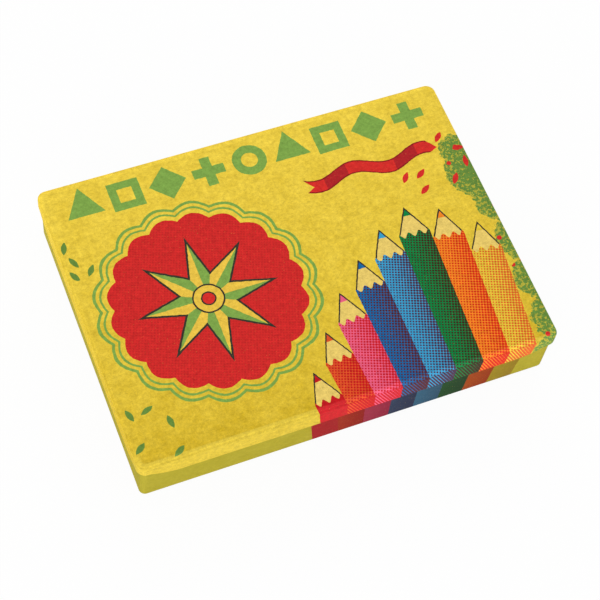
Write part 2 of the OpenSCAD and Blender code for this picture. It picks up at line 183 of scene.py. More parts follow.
def add(tree, kind, *inputs, out=0, stops=(), **settings):
    """Adds one node with its settings and links, and gives one of its open outputs.

    kind is the node's name, with its operation or a Mix's data type after a dot.
    Inputs fill the open sockets in order: a socket is linked, a hex colour is turned
    to linear, and a number is set. stops are the places and colours of a ramp."""
    name, _, mode = kind.partition(".")
    node = tree.nodes.new("ShaderNode" + name)
    if mode:
        setattr(node, "data_type" if name == "Mix" else "operation", mode)
    for key, value in settings.items():
        setattr(node, key, value)
    for socket, value in zip([s for s in node.inputs if s.enabled], inputs):
        if isinstance(value, bpy.types.NodeSocket):
            tree.links.new(value, socket)
        elif value is not None:
            socket.default_value = linear(value) if isinstance(value, str) else value
    for i, (place, colour) in enumerate(stops):
        elements = node.color_ramp.elements
        if i >= len(elements):
            elements.new(place)
        elements[i].position, elements[i].color = place, colour
    if stops:
        node.color_ramp.interpolation = "CONSTANT"
    return [s for s in node.outputs if s.enabled][out]


def flat_steps(values):
    """Equal steps of a ramp: one for each hex colour, or for each grey from 0 to 1."""
    colours = [linear(v) if isinstance(v, str) else (v, v, v, 1) for v in values]
    return [(i / len(values), colour) for i, colour in enumerate(colours)]


def new_material(name):
    """A material with an empty tree, and the shader of its surface."""
    material = bpy.data.materials.new(name)
    material.use_nodes = True
    return material, material.node_tree, material.node_tree.nodes["Principled BSDF"]


def coat_with(tree, shader, **finish):
    """Fills the shader's sockets, named with _ for each space."""
    for name, value in finish.items():
        socket = shader.inputs[name.replace("_", " ")]
        if isinstance(value, bpy.types.NodeSocket):
            tree.links.new(value, socket)
        else:
            socket.default_value = linear(value) if isinstance(value, str) else value


def dress(node_name, material):
    """Puts one material on all of a CAD node."""
    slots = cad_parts[node_name].data.materials
    if not len(slots):
        slots.append(material)
    for i in range(len(slots)):
        slots[i] = material


def in_millimetres(tree, shift=(0, 0, 0)):
    """The place on the object in millimetres, less a shift."""
    place = add(tree, "VectorMath.MULTIPLY", add(tree, "TexCoord", out=3), (MM, MM, MM))
    return add(tree, "VectorMath.SUBTRACT", place, shift)


# ---- the print on the tinplate ----


def lay_sheet_flat(tree, place, corner):
    """Folds the walls out flat, and gives the place on that flat sheet, how far a point
    is outside the line of the walls, and its height."""
    height = add(tree, "SeparateXYZ", place, out=2)
    past = add(tree, "VectorMath.SUBTRACT", add(tree, "VectorMath.ABSOLUTE", place), PANEL_HALF)
    past = add(tree, "VectorMath.MAXIMUM", add(tree, "VectorMath.MULTIPLY", past, (1, 1, 0)), (0, 0, 0))
    outside = add(tree, "Math.SUBTRACT", add(tree, "VectorMath.LENGTH", past), corner)
    side = add(tree, "VectorMath.SIGN", place)
    outward = add(tree, "VectorMath.NORMALIZE", add(tree, "VectorMath.MULTIPLY", past, side))
    drop = add(tree, "Math.MAXIMUM", add(tree, "Math.SUBTRACT", SHOULDER_Z, height), 0)
    flat = add(tree, "VectorMath.MULTIPLY", place, (1, 1, 0))
    fold = add(tree, "CombineXYZ", drop, drop)
    return add(tree, "VectorMath.MULTIPLY_ADD", outward, fold, flat), outside, height


def under_hem(tree, place, height):
    """1 where a point lies lower than the middle of the hem, which rises to the corners.
    Each of its two bends is drawn as a parabola."""
    room = add(tree, "VectorMath.SUBTRACT", PANEL_HALF, add(tree, "VectorMath.ABSOLUTE", place))
    along = add(tree, "Math.MAXIMUM", add(tree, "SeparateXYZ", room), add(tree, "SeparateXYZ", room, out=1))
    along = add(tree, "Math.MAXIMUM", along, 0)
    bent = add(tree, "Math.MAXIMUM", add(tree, "Math.SUBTRACT", HEM_RUN, along), 0)
    bent = add(tree, "Math.DIVIDE", add(tree, "Math.MULTIPLY", bent, bent), 2 * HEM_BEND)
    eased = add(tree, "Math.MINIMUM", along, EASE_RUN)
    eased = add(tree, "Math.MULTIPLY", eased, eased)
    eased = add(tree, "Math.MULTIPLY_ADD", eased, -1 / (2 * HEM_EASE), HEM_RISE)
    risen = add(tree, "Math.MINIMUM", bent, eased)
    return add(tree, "Math.LESS_THAN", add(tree, "Math.SUBTRACT", height, risen), HEM_Z)


def lid_is_printed(tree, place, outside, height):
    """1 on the lid's printed side, and 0 on its bare one."""
    ledge = -LID_EDGE - LEDGE
    step = add(tree, "MapRange", outside, ledge, ledge - PANEL_STEP, 0, PANEL_RISE)
    rise = add(tree, "Math.SUBTRACT", add(tree, "Math.SUBTRACT", height, step), SHOULDER_Z - LID_EDGE)
    across = add(tree, "Math.MAXIMUM", add(tree, "Math.ADD", outside, LID_EDGE), 0)
    # how far it is from the centre line of the bent edge tells the two sides apart
    reach = add(tree, "CombineXYZ", across, add(tree, "Math.MAXIMUM", rise, 0))
    reach = add(tree, "VectorMath.LENGTH", reach)
    printed = add(tree, "Math.GREATER_THAN", reach, LID_EDGE - SHEET / 2)
    # the hem turns the printed side inwards
    low = add(tree, "Math.LESS_THAN", height, SKIRT_Z + HEM_ROOM)
    rolled_in = add(tree, "Math.LESS_THAN", outside, -SHEET - HAIR)
    hem = add(tree, "Math.MULTIPLY", low, rolled_in)
    hem = add(tree, "Math.MAXIMUM", hem, under_hem(tree, place, height))
    return add(tree, "Math.MAXIMUM", printed, hem)


def base_is_printed(tree, outside, height):
    """1 on the base's printed side, which its rim turns inwards, and 0 on its bare one."""
    wall = add(tree, "Math.GREATER_THAN", outside, -SHEET / 2)
    rim = add(tree, "Math.GREATER_THAN", height, RIM_Z)
    low = add(tree, "Math.LESS_THAN", height, BASE_EDGE)
    foot = add(tree, "Math.MULTIPLY", low, add(tree, "Math.GREATER_THAN", outside, SHEET - BASE_EDGE))
    return add(tree, "Math.MAXIMUM", add(tree, "Math.MAXIMUM", wall, rim), foot)


def clouded_ground(tree, flat, thick, thin, strength):
    """One yellow ink, made paler towards the back by painted light, and in soft clouds of all sizes."""
    # painted light: the ground grows paler towards the back
    depth = add(tree, "SeparateXYZ", flat, out=1)
    depth = add(tree, "MapRange", depth, GROUND_FRONT, GROUND_BACK)
    painted_light = add(tree, "Math.SQRT", depth)
    painted_light = add(tree, "Math.MULTIPLY_ADD", painted_light, PAINTED_LIGHT_TO_BACK, PAINTED_LIGHT_AT_FRONT)
    clouds = add(tree, "TexNoise", flat, 1 / 12, 7, 0.8)
    share = add(tree, "Math.MULTIPLY_ADD", add(tree, "Math.SUBTRACT", clouds, 0.5), strength, painted_light)
    return add(tree, "Mix.RGBA", share, thick, thin)


def bushes(tree, flat, below):
    """Rounded bushes in the corners, with specks of light and red berries."""
    reach = None
    for x, y, r in BUSHES:
        one = add(tree, "VectorMath.DISTANCE", flat, (x, y, 0))
        one = add(tree, "Math.SUBTRACT", one, r)
        reach = one if reach is None else add(tree, "Math.MINIMUM", reach, one)
    ragged = add(tree, "TexNoise", flat, 1 / 3.2, 2, 0.6)
    reach = add(tree, "Math.MULTIPLY_ADD", ragged, BUSH_RAGGED, reach)
    leafy = add(tree, "Math.LESS_THAN", reach, BUSH_EDGE)
    colour = add(tree, "Mix.RGBA", leafy, below, GRASS)
    # light between the leaves: more of it towards the edge of a bush
    gaps = add(tree, "TexNoise", flat, 1 / 1.5, 2, 0.7)
    need = add(tree, "MapRange", reach, BUSH_HEART, BUSH_EDGE, GAPS_IN_HEART, GAPS_AT_EDGE)
    lit = add(tree, "Math.MULTIPLY", leafy, add(tree, "Math.GREATER_THAN", gaps, need))
    colour = add(tree, "Mix.RGBA", lit, colour, SUNLIT)
    spot = add(tree, "TexVoronoi", flat, 1 / BERRY_GAP, voronoi_dimensions="2D")
    round_ = add(tree, "Math.LESS_THAN", spot, BERRY_R / BERRY_GAP)
    chance = add(tree, "TexVoronoi", flat, 1 / BERRY_GAP, out=1, voronoi_dimensions="2D")
    ripe = add(tree, "Math.LESS_THAN", add(tree, "SeparateXYZ", chance), RIPE)
    berries = add(tree, "Math.MULTIPLY", add(tree, "Math.MULTIPLY", ripe, round_), leafy)
    return add(tree, "Mix.RGBA", berries, colour, RED)


def fallen_leaves(tree, flat, below, ink, centre, spread, share):
    """Lozenge leaves, each turned its own way, scattered round one place."""
    cells = (flat, 1 / LEAF_GAP, 0, 0.5, 2, LEAF_STRAY)
    chance = add(tree, "SeparateXYZ", add(tree, "TexVoronoi", *cells, out=1, voronoi_dimensions="2D"))
    middle = add(tree, "TexVoronoi", *cells, out=2, voronoi_dimensions="2D")
    near = add(tree, "Math.LESS_THAN", add(tree, "VectorMath.DISTANCE", middle, centre), spread)
    arm = add(tree, "VectorMath.SUBTRACT", flat, middle)
    arm = add(tree, "VectorMath.MULTIPLY", arm, (1, 1, 0))
    turn = add(tree, "Math.MULTIPLY", chance, LEAF_TURNS)
    arm = add(tree, "VectorRotate", arm, (0, 0, 0), turn, rotation_type="Z_AXIS")
    wide = add(tree, "Math.ABSOLUTE", add(tree, "SeparateXYZ", arm))
    long_ = add(tree, "SeparateXYZ", arm, out=1)
    room = add(tree, "Math.MULTIPLY", long_, long_)
    room = add(tree, "Math.MULTIPLY_ADD", room, -LEAF_W / LEAF_L**2, LEAF_W)
    leaf = add(tree, "Math.LESS_THAN", wide, room)
    kept = add(tree, "Math.LESS_THAN", chance, share)
    mask = add(tree, "Math.MULTIPLY", add(tree, "Math.MULTIPLY", leaf, kept), near)
    return add(tree, "Mix.RGBA", mask, below, ink)


def streamer(tree, flat, below):
    """A plain waving band with a notched end, darker where it turns away."""
    x = add(tree, "SeparateXYZ", flat)
    y = add(tree, "SeparateXYZ", flat, out=1)
    swing = add(tree, "Math.MULTIPLY", x, 2 * math.pi / WAVE_LENGTH)
    wave = add(tree, "Math.MULTIPLY_ADD", add(tree, "Math.SINE", swing), WAVE_HEIGHT, STREAMER_Y)
    off = add(tree, "Math.ABSOLUTE", add(tree, "Math.SUBTRACT", y, wave))
    slanted = add(tree, "Math.MULTIPLY_ADD", off, NOTCH, x)
    begun = add(tree, "Math.GREATER_THAN", slanted, STREAMER_START)
    in_length = add(tree, "Math.MULTIPLY", begun, add(tree, "Math.LESS_THAN", slanted, STREAMER_END))
    edge = add(tree, "Math.LESS_THAN", off, STREAMER_HALF + STREAMER_EDGE)
    edge = add(tree, "Math.MULTIPLY", in_length, edge)
    band = add(tree, "Math.MULTIPLY", in_length, add(tree, "Math.LESS_THAN", off, STREAMER_HALF))
    colour = add(tree, "Mix.RGBA", edge, below, EDGE_RED)
    turned = add(tree, "Math.GREATER_THAN", add(tree, "Math.COSINE", swing), TURNED_AWAY)
    shaded = add(tree, "Mix.RGBA", turned, RED, DEEP_RED)
    return add(tree, "Mix.RGBA", band, colour, shaded)


def frieze(tree, flat, below):
    """A row of cut-out shapes along the back: ring, triangle, frame, diamond, cross."""
    x = add(tree, "SeparateXYZ", flat)
    y = add(tree, "Math.SUBTRACT", add(tree, "SeparateXYZ", flat, out=1), FRIEZE_Y)
    cell = add(tree, "Math.MULTIPLY_ADD", x, 1 / FRIEZE_STEP, 0.5)
    number = add(tree, "Math.FLOOR", cell)
    x = add(tree, "Math.SUBTRACT", add(tree, "Math.FRACT", cell), 0.5)
    x = add(tree, "Math.MULTIPLY", x, FRIEZE_STEP)
    wide, tall = add(tree, "Math.ABSOLUTE", x), add(tree, "Math.ABSOLUTE", y)

    round_ = add(tree, "VectorMath.LENGTH", add(tree, "CombineXYZ", x, y))
    ring = add(tree, "Math.ABSOLUTE", add(tree, "Math.SUBTRACT", round_, RING_R))
    ring = add(tree, "Math.SUBTRACT", ring, RING_HALF)
    slant = add(tree, "Math.MULTIPLY", wide, math.cos(math.radians(30)))
    slant = add(tree, "Math.MULTIPLY_ADD", y, math.sin(math.radians(30)), slant)
    triangle = add(tree, "Math.MAXIMUM", slant, add(tree, "Math.MULTIPLY", y, -1))
    triangle = add(tree, "Math.SUBTRACT", triangle, TRIANGLE_R)
    square_frame = add(tree, "Math.SUBTRACT", add(tree, "Math.MAXIMUM", wide, tall), FRAME_R)
    square_frame = add(tree, "Math.SUBTRACT", add(tree, "Math.ABSOLUTE", square_frame), FRAME_HALF)
    diamond = add(tree, "Math.SUBTRACT", add(tree, "Math.ADD", wide, tall), DIAMOND_R)
    arms = []
    for across, along in ((wide, tall), (tall, wide)):
        across = add(tree, "Math.SUBTRACT", across, CROSS_HALF)
        arms.append(add(tree, "Math.MAXIMUM", across, add(tree, "Math.SUBTRACT", along, CROSS_R)))
    cross = add(tree, "Math.MINIMUM", *arms)

    shapes = [ring, triangle, square_frame, diamond, cross]
    which = add(tree, "Math.FLOORED_MODULO", number, len(shapes))
    mask = None
    for i, shape in enumerate(shapes):
        chosen = add(tree, "Math.COMPARE", which, i, 0.4)
        part = add(tree, "Math.MULTIPLY", chosen, add(tree, "Math.LESS_THAN", shape, 0))
        mask = part if mask is None else add(tree, "Math.ADD", mask, part)
    in_row = add(tree, "Math.LESS_THAN", add(tree, "Math.ABSOLUTE", number), FRIEZE_COUNT / 2)
    return add(tree, "Mix.RGBA", add(tree, "Math.MULTIPLY", mask, in_row), below, LEAF)


def medallion(tree, flat, below):
    """A scalloped disc in two outline rings, with a faceted star on it."""
    arm = add(tree, "VectorMath.SUBTRACT", flat, MEDAL_CENTRE)
    out_from = add(tree, "VectorMath.LENGTH", arm)
    turn = add(tree, "Math.ARCTAN2", add(tree, "SeparateXYZ", arm), add(tree, "SeparateXYZ", arm, out=1))
    lobes = add(tree, "Math.ABSOLUTE", add(tree, "Math.SINE", add(tree, "Math.MULTIPLY", turn, SCALLOPS)))
    edge = add(tree, "Math.MULTIPLY_ADD", lobes, SCALLOP, MEDAL_R)
    reach = add(tree, "Math.SUBTRACT", out_from, edge)
    colour = below
    for gap, half_width in MEDAL_RINGS:
        ring = add(tree, "Math.COMPARE", reach, gap, half_width)
        colour = add(tree, "Mix.RGBA", ring, colour, LEAF)
    fine_dots = add(tree, "MapRange", dot_screen(tree, flat), *DISC_DOTS, DISC_DOTS_SHOW, 0)
    red = add(tree, "Mix.RGBA", fine_dots, DISC_RED, DISC_DOT)
    colour = add(tree, "Mix.RGBA", add(tree, "Math.LESS_THAN", reach, 0), colour, red)
    # the star, folded into one half of one point
    sector = 2 * math.pi / STAR_POINTS
    fold = add(tree, "Math.FRACT", add(tree, "Math.MULTIPLY_ADD", turn, 1 / sector, 0.5))
    fold = add(tree, "Math.MULTIPLY", add(tree, "Math.SUBTRACT", fold, 0.5), sector)
    along = add(tree, "Math.MULTIPLY", out_from, add(tree, "Math.COSINE", fold))
    aside = add(tree, "Math.ABSOLUTE", add(tree, "Math.MULTIPLY", out_from, add(tree, "Math.SINE", fold)))
    waist = Vector((STAR_WAIST * math.cos(sector / 2), STAR_WAIST * math.sin(sector / 2)))
    normal = Vector((waist.y, STAR_R - waist.x)).normalized()
    past = add(tree, "Math.MULTIPLY", add(tree, "Math.SUBTRACT", along, STAR_R), normal.x)
    past = add(tree, "Math.MULTIPLY_ADD", aside, normal.y, past)
    facet = add(tree, "Mix.RGBA", add(tree, "Math.GREATER_THAN", fold, 0), GOLD, LEAF)
    colour = add(tree, "Mix.RGBA", add(tree, "Math.LESS_THAN", past, STAR_OUTLINE), colour, CHARCOAL)
    colour = add(tree, "Mix.RGBA", add(tree, "Math.LESS_THAN", past, 0), colour, facet)
    for r, ink in STAR_EYE:
        colour = add(tree, "Mix.RGBA", add(tree, "Math.LESS_THAN", out_from, r), colour, ink)
    return colour


def fan_of_bars(tree, flat, below, inks, screen_inks, screen):
    """Eight color bars that fan out from the front, each sharpened like a pencil. The
    screen's value grows from 0 in the middle of a dot or line, and shades each bar."""
    arm = add(tree, "VectorMath.SUBTRACT", flat, FAN_CENTRE)
    angle = add(tree, "Math.ARCTAN2", add(tree, "SeparateXYZ", arm), add(tree, "SeparateXYZ", arm, out=1))
    across = add(tree, "Math.DIVIDE", add(tree, "Math.SUBTRACT", angle, FAN_START), FAN_STEP)
    share = add(tree, "Math.SUBTRACT", add(tree, "Math.FRACT", across), 0.5)
    place = add(tree, "Math.DIVIDE", add(tree, "Math.ADD", add(tree, "Math.FLOOR", across), 0.5), len(inks))
    in_fan = add(tree, "Math.COMPARE", place, 0.5, 0.5)
    bar = add(tree, "ValToRGB", place, stops=flat_steps(inks))
    shade = add(tree, "ValToRGB", place, stops=flat_steps(screen_inks))
    reaches = [(r - REACH_LOW) / REACH_SPAN for r in POINT_REACH]
    reach = add(tree, "ValToRGB", place, stops=flat_steps(reaches))
    reach = add(tree, "Math.MULTIPLY_ADD", reach, REACH_SPAN, REACH_LOW)
    to_point = add(tree, "Math.SUBTRACT", reach, add(tree, "VectorMath.LENGTH", arm))
    half = add(tree, "Math.MINIMUM", add(tree, "Math.MULTIPLY", to_point, 0.5 / SHARPENED), 0.5)
    aside = add(tree, "Math.ABSOLUTE", share)
    inside = add(tree, "Math.MULTIPLY", add(tree, "Math.LESS_THAN", aside, half), in_fan)
    # dots grow from one side of a bar to the other
    size = add(tree, "MapRange", share, -0.5, 0.5, LEAST_DOT, LARGEST_DOT)
    screened = add(tree, "Mix.RGBA", add(tree, "Math.LESS_THAN", screen, size), bar, shade)
    wave = add(tree, "Math.COSINE", add(tree, "Math.MULTIPLY", share, 2 * math.pi * CUT_WAVES))
    shoulder = add(tree, "Math.MULTIPLY_ADD", wave, CUT_DEPTH, SHARPENED)
    wood = add(tree, "Math.LESS_THAN", to_point, shoulder)
    colour = add(tree, "Mix.RGBA", wood, screened, CREAM)
    colour = add(tree, "Mix.RGBA", add(tree, "Math.LESS_THAN", to_point, COLOURED_POINT), colour, bar)
    rim = add(tree, "Math.LESS_THAN", add(tree, "Math.SUBTRACT", half, aside), BAR_OUTLINE)
    colour = add(tree, "Mix.RGBA", add(tree, "Math.MULTIPLY", rim, wood), colour, CHARCOAL)
    return add(tree, "Mix.RGBA", inside, below, colour)


def dot_screen(tree, flat):
    """Distance from the middle of the nearest litho dot, as a share of the pitch."""
    turned = add(tree, "Mapping", flat, (0, 0, 0), (0, 0, DOT_TURN), (1 / DOT_PITCH, 1 / DOT_PITCH, 0))
    cell = add(tree, "VectorMath.SUBTRACT", add(tree, "VectorMath.FRACTION", turned), (0.5, 0.5, 0))
    return add(tree, "VectorMath.LENGTH", cell)


def line_screen(tree, flat, pitch, turn):
    """Distance from the middle of the nearest hatching line, as a share of the pitch."""
    turned = add(tree, "Mapping", flat, (0, 0, 0), (0, 0, turn), (1 / pitch, 1 / pitch, 0))
    cell = add(tree, "Math.FRACT", add(tree, "SeparateXYZ", turned))
    return add(tree, "Math.ABSOLUTE", add(tree, "Math.SUBTRACT", cell, 0.5))


def uneven_ink(tree, flat, colour, strength):
    """Grain of the ink on the metal, and pinholes where it took badly. The real grain is
    about 0.2 mm wide; it is drawn from 0.3 to 2.5 mm wide so that it shows."""
    grain = add(tree, "TexNoise", flat, 1 / 2.5, 4, 0.95)
    value = add(tree, "MapRange", grain, 0.25, 0.75, 1 - strength, 1 + strength)
    colour = add(tree, "HueSaturation", 0.5, 1, value, 1, colour)
    pinholes = add(tree, "Math.GREATER_THAN", add(tree, "TexNoise", flat, 1 / 0.55, 1, 0.5), PINHOLE)
    return add(tree, "Mix.RGBA", add(tree, "Math.MULTIPLY", pinholes, PINHOLE_SHOWS), colour, PALE_SPECK)


def waver(tree, flat):
    """Moves the print by a fifth of a millimetre at most, as hand-cut edges are."""
    drift = add(tree, "TexNoise", flat, 1 / 2.4, 2, 0.6, out=1)
    drift = add(tree, "VectorMath.SUBTRACT", drift, (0.5, 0.5, 0.5))
    return add(tree, "VectorMath.MULTIPLY_ADD", drift, (WAVER, WAVER, 0), flat)


def painted_edge_light(tree, flat, outside, front):
    """How bright the lid's ink stands: 1, and else a painted highlight along the border, a little
    darker at the sides and most at the front, and a painted shade in the crease where the panel rises."""
    long_side = add(tree, "Math.ABSOLUTE", add(tree, "SeparateXYZ", flat, out=1))
    painted_light = add(tree, "MapRange", long_side, *LONG_EDGES, SIDES_LIT, LONG_EDGES_LIT)
    painted_light = add(tree, "Math.MULTIPLY_ADD", front, FRONT_LIT, painted_light)
    border = add(tree, "Math.ABSOLUTE", add(tree, "Math.SUBTRACT", outside, BORDER_LINE))
    edge_light = add(tree, "MapRange", border, *BORDER_BAND, painted_light, 1)
    crease = add(tree, "Math.ABSOLUTE", add(tree, "Math.SUBTRACT", outside, CREASE_SHADE_LINE))
    shade_in_crease = add(tree, "MapRange", crease, 0, CREASE_SHADE_WIDTH, CREASE_SHADE, 1)
    return add(tree, "Math.MULTIPLY", edge_light, shade_in_crease)


def lid_print(tree, flat, outside):
    """All that is printed on the lid, one ink over the other, with painted light and shade along its edges.
    """
    drawn = waver(tree, flat)
    colour = clouded_ground(tree, flat, THICK_YELLOW, THIN_YELLOW, LID_CLOUDS)
    # painted sheen along the front edge: a paler ground there, and later a faint white haze over all its
    # print
    front = add(tree, "MapRange", add(tree, "SeparateXYZ", flat, out=1), *FRONT_EDGE)
    front_sheen = add(tree, "Math.MULTIPLY", front, add(tree, "MapRange", outside, *SHEEN_BAND))
    sheen_share = add(tree, "Math.MULTIPLY", front_sheen, SHEEN_SHOWS)
    colour = add(tree, "Mix.RGBA", sheen_share, colour, SHEEN_YELLOW)
    colour = bushes(tree, drawn, colour)
    for ink, centre, spread, share in FALLEN:
        colour = fallen_leaves(tree, drawn, colour, ink, centre, spread, share)
    colour = streamer(tree, drawn, colour)
    colour = frieze(tree, drawn, colour)
    colour = medallion(tree, drawn, colour)
    # drawing the skirt stretched the dots into slanting lines
    lines = line_screen(tree, flat, SKIRT_PITCH, SKIRT_TURN)
    on_skirt = add(tree, "Math.GREATER_THAN", outside, SKIRT_LINE)
    screen = add(tree, "Mix.FLOAT", on_skirt, dot_screen(tree, flat), lines)
    colour = fan_of_bars(tree, drawn, colour, BAR_INKS, DOT_INKS, screen)
    colour = uneven_ink(tree, flat, colour, LID_GRAIN)
    # painted highlight along the border, and painted shade in the crease inside it
    edge_light = painted_edge_light(tree, flat, outside, front)
    colour = add(tree, "HueSaturation", 0.5, 1, edge_light, 1, colour)
    # painted sheen: a faint white haze along the front edge
    return add(tree, "Mix.RGBA", add(tree, "Math.MULTIPLY", front_sheen, SHEEN_HAZE), colour, WHITE)


def base_print(tree, flat, height):
    """All that is printed on the base: its ground, and the bars' lower ends, hatched."""
    drawn = waver(tree, add(tree, "VectorMath.ADD", flat, BASE_SHIFT))
    ground = clouded_ground(tree, flat, THICK_OLIVE, THIN_OLIVE, BASE_CLOUDS)
    hatching = line_screen(tree, flat, HATCH_PITCH, HATCH_TURN)
    bars = fan_of_bars(tree, drawn, ground, BASE_BAR_INKS, HATCH_INKS, hatching)
    below_skirt = add(tree, "Math.LESS_THAN", height, BASE_PRINT_Z)
    colour = add(tree, "Mix.RGBA", below_skirt, ground, bars)
    return uneven_ink(tree, flat, colour, BASE_GRAIN)


def printed_tinplate(name, corner, is_lid):
    """Litho-printed tinplate: cold-rolled steel with a tin coat, printed on one side and
    thinly varnished. The eye sees dull, grainy ink outside, with hardly a sheen, and on
    the bare side pale satin metal with fine lengthwise rolling lines and bands."""
    material, tree, shader = new_material(name)
    place = in_millimetres(tree)
    flat, outside, height = lay_sheet_flat(tree, place, corner)
    if is_lid:
        printed = lid_is_printed(tree, place, outside, height)
        colour = lid_print(tree, flat, outside)
    else:
        printed = base_is_printed(tree, outside, height)
        colour = base_print(tree, flat, height)

    rolled = add(tree, "TexNoise", add(tree, "VectorMath.MULTIPLY", place, (1 / 40, 2, 2)), 1, 3, 0.6)
    bands = add(tree, "VectorMath.MULTIPLY", place, (1 / 140, 1 / 3, 1 / 3))
    bands = add(tree, "MapRange", add(tree, "TexNoise", bands, 1, 5, 0.75), *NOISE)
    metal = add(tree, "Mix.RGBA", bands, "#8F908D", "#AEADA7")
    smudge = add(tree, "TexNoise", place, 1 / 18, 3, 0.6)
    gloss = add(tree, "MapRange", smudge, *NOISE, 0.7, 0.82)
    bare_gloss = add(tree, "MapRange", rolled, *NOISE, 0.45, 0.57)
    peel = add(tree, "TexNoise", place, 1 / 2.5, 2, 0.5)
    coat_with(
        tree,
        shader,
        Base_Color=add(tree, "Mix.RGBA", printed, metal, colour),
        Metallic=add(tree, "Math.SUBTRACT", 1, printed),
        Roughness=add(tree, "Mix.FLOAT", printed, bare_gloss, gloss),
        Specular_IOR_Level=0.04,
        Normal=add(tree, "Bump", 0.12, 0.00008, 1, peel),
    )
    return material


# ---- metal, tray and pencils ----


def bare_tinplate():
    """Tinplate, cut and curled: bright cold-rolled metal with fine rolling lines and
    the dull bloom of handling. A leaf has two spot welds."""
    material, tree, shader = new_material("bare_tinplate")
    place = in_millimetres(tree)
    rolled = add(tree, "TexNoise", add(tree, "VectorMath.MULTIPLY", place, (1 / 12, 4, 4)), 1, 3, 0.65)
    bloom = add(tree, "TexNoise", place, 1 / 5, 3, 0.6)
    # each weld is a shallow dimple, in a ring that the heat has tinted
    weld = add(tree, "VectorMath.SUBTRACT", add(tree, "VectorMath.ABSOLUTE", place), (HINGE_X, 0, WELD_Z))
    weld = add(tree, "VectorMath.SUBTRACT", add(tree, "VectorMath.ABSOLUTE", weld), (WELD_X, 0, 0))
    weld = add(tree, "VectorMath.LENGTH", add(tree, "VectorMath.MULTIPLY", weld, (1, 0, 1)))
    heat = add(tree, "Math.ABSOLUTE", add(tree, "Math.SUBTRACT", weld, WELD_R))
    heat = add(tree, "MapRange", heat, 0.1, 0.6, 0.55, 0)
    dimple = add(tree, "MapRange", weld, WELD_R - 0.6, WELD_R - 0.1)
    metal = add(tree, "Mix.RGBA", bloom, "#B1B2AE", "#CFCEC7")
    grain = add(tree, "Bump", 0.2, 0.00003, 1, rolled)
    coat_with(
        tree,
        shader,
        Base_Color=add(tree, "Mix.RGBA", heat, metal, "#8C7F6B"),
        Metallic=1.0,
        Roughness=add(tree, "MapRange", rolled, *NOISE, 0.24, 0.42),
        Normal=add(tree, "Bump", 0.8, 0.0002, 1, dimple, grain),
    )
    return material


def drawn_steel_wire():
    """Steel wire, drawn and zinc-plated: grey metal with fine scratches along its run
    and darker specks."""
    material, tree, shader = new_material("drawn_steel_wire")
    place = in_millimetres(tree)
    scratches = add(tree, "TexNoise", add(tree, "VectorMath.MULTIPLY", place, (1 / 6, 8, 8)), 1, 2, 0.6)
    specks = add(tree, "TexNoise", place, 1 / 0.8, 2, 0.6)
    coat_with(
        tree,
        shader,
        Base_Color=add(tree, "Mix.RGBA", specks, "#8F9092", "#B6B7B7"),
        Metallic=1.0,
        Roughness=add(tree, "MapRange", scratches, *NOISE, 0.22, 0.4),
        Normal=add(tree, "Bump", 0.25, 0.00002, 1, scratches),
    )
    return material


def vacuum_formed_polystyrene():
    """High-impact polystyrene sheet, vacuum-formed: black, with a fine matt texture, and a
    little paler wax dust and scuffs in patches."""
    material, tree, shader = new_material("vacuum_formed_polystyrene")
    place = in_millimetres(tree)
    # the real texture is about 0.15 mm wide, drawn 0.5 mm wide so that it shows
    pebble = add(tree, "TexNoise", place, 1 / 0.5, 2, 0.6)
    scuffs = add(tree, "TexNoise", add(tree, "VectorMath.MULTIPLY", place, (1 / 9, 1 / 2, 1 / 2)), 1, 4, 0.7)
    dusty = add(tree, "MapRange", scuffs, 0.52, 0.75, 0, 0.5)
    colour = add(tree, "Mix.RGBA", pebble, "#232325", "#303033")
    coat_with(
        tree,
        shader,
        Base_Color=add(tree, "Mix.RGBA", dusty, colour, "#57565A"),
        Roughness=add(tree, "MapRange", scuffs, 0.3, 0.75, 0.38, 0.62),
        IOR=1.59,
        Normal=add(tree, "Bump", 0.25, 0.00005, 1, pebble),
    )
    return material


def from_pencil_axis(tree, pencil):
    """The place from one pencil's axis, how far it is along it, and where its tail is."""
    low, high = millimetre_box(pencil + "_casing")
    middle = (low + high) / 2
    place = in_millimetres(tree, (0, middle.y, middle.z))
    return place, add(tree, "SeparateXYZ", place), low.x


